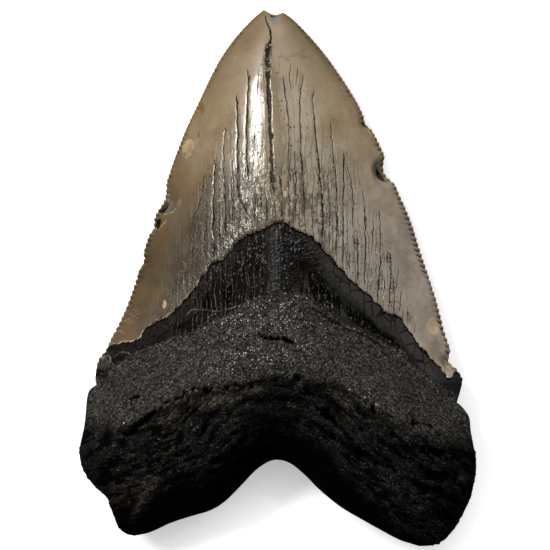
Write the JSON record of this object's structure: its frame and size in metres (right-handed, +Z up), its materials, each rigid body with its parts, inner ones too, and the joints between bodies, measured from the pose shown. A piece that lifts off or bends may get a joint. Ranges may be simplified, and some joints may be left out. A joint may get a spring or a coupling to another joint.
{
  "type": "fossil megalodon tooth",
  "caption": "Large triangular fossil shark tooth lying on its flat side, with serrated cutting edges, a cracked enamel crown and a thick, rough, notched root.",
  "frame": {"origin": "on the surface that the tooth lies on, under the middle of its bounding box", "axes": "+Y from the root to the tip, +X to the right of the tooth as seen from above with the tip away, +Z up through the domed lingual face"},
  "size_m": [0.0736, 0.0996, 0.0211],
  "materials": {
    "fossil_tooth": "polished grey-brown enamel crown, glossy black bourlette, rough black root"
  },
  "bodies": {
    "root": {"tooth": "fossil_tooth"}
  },
  "joints": []
}
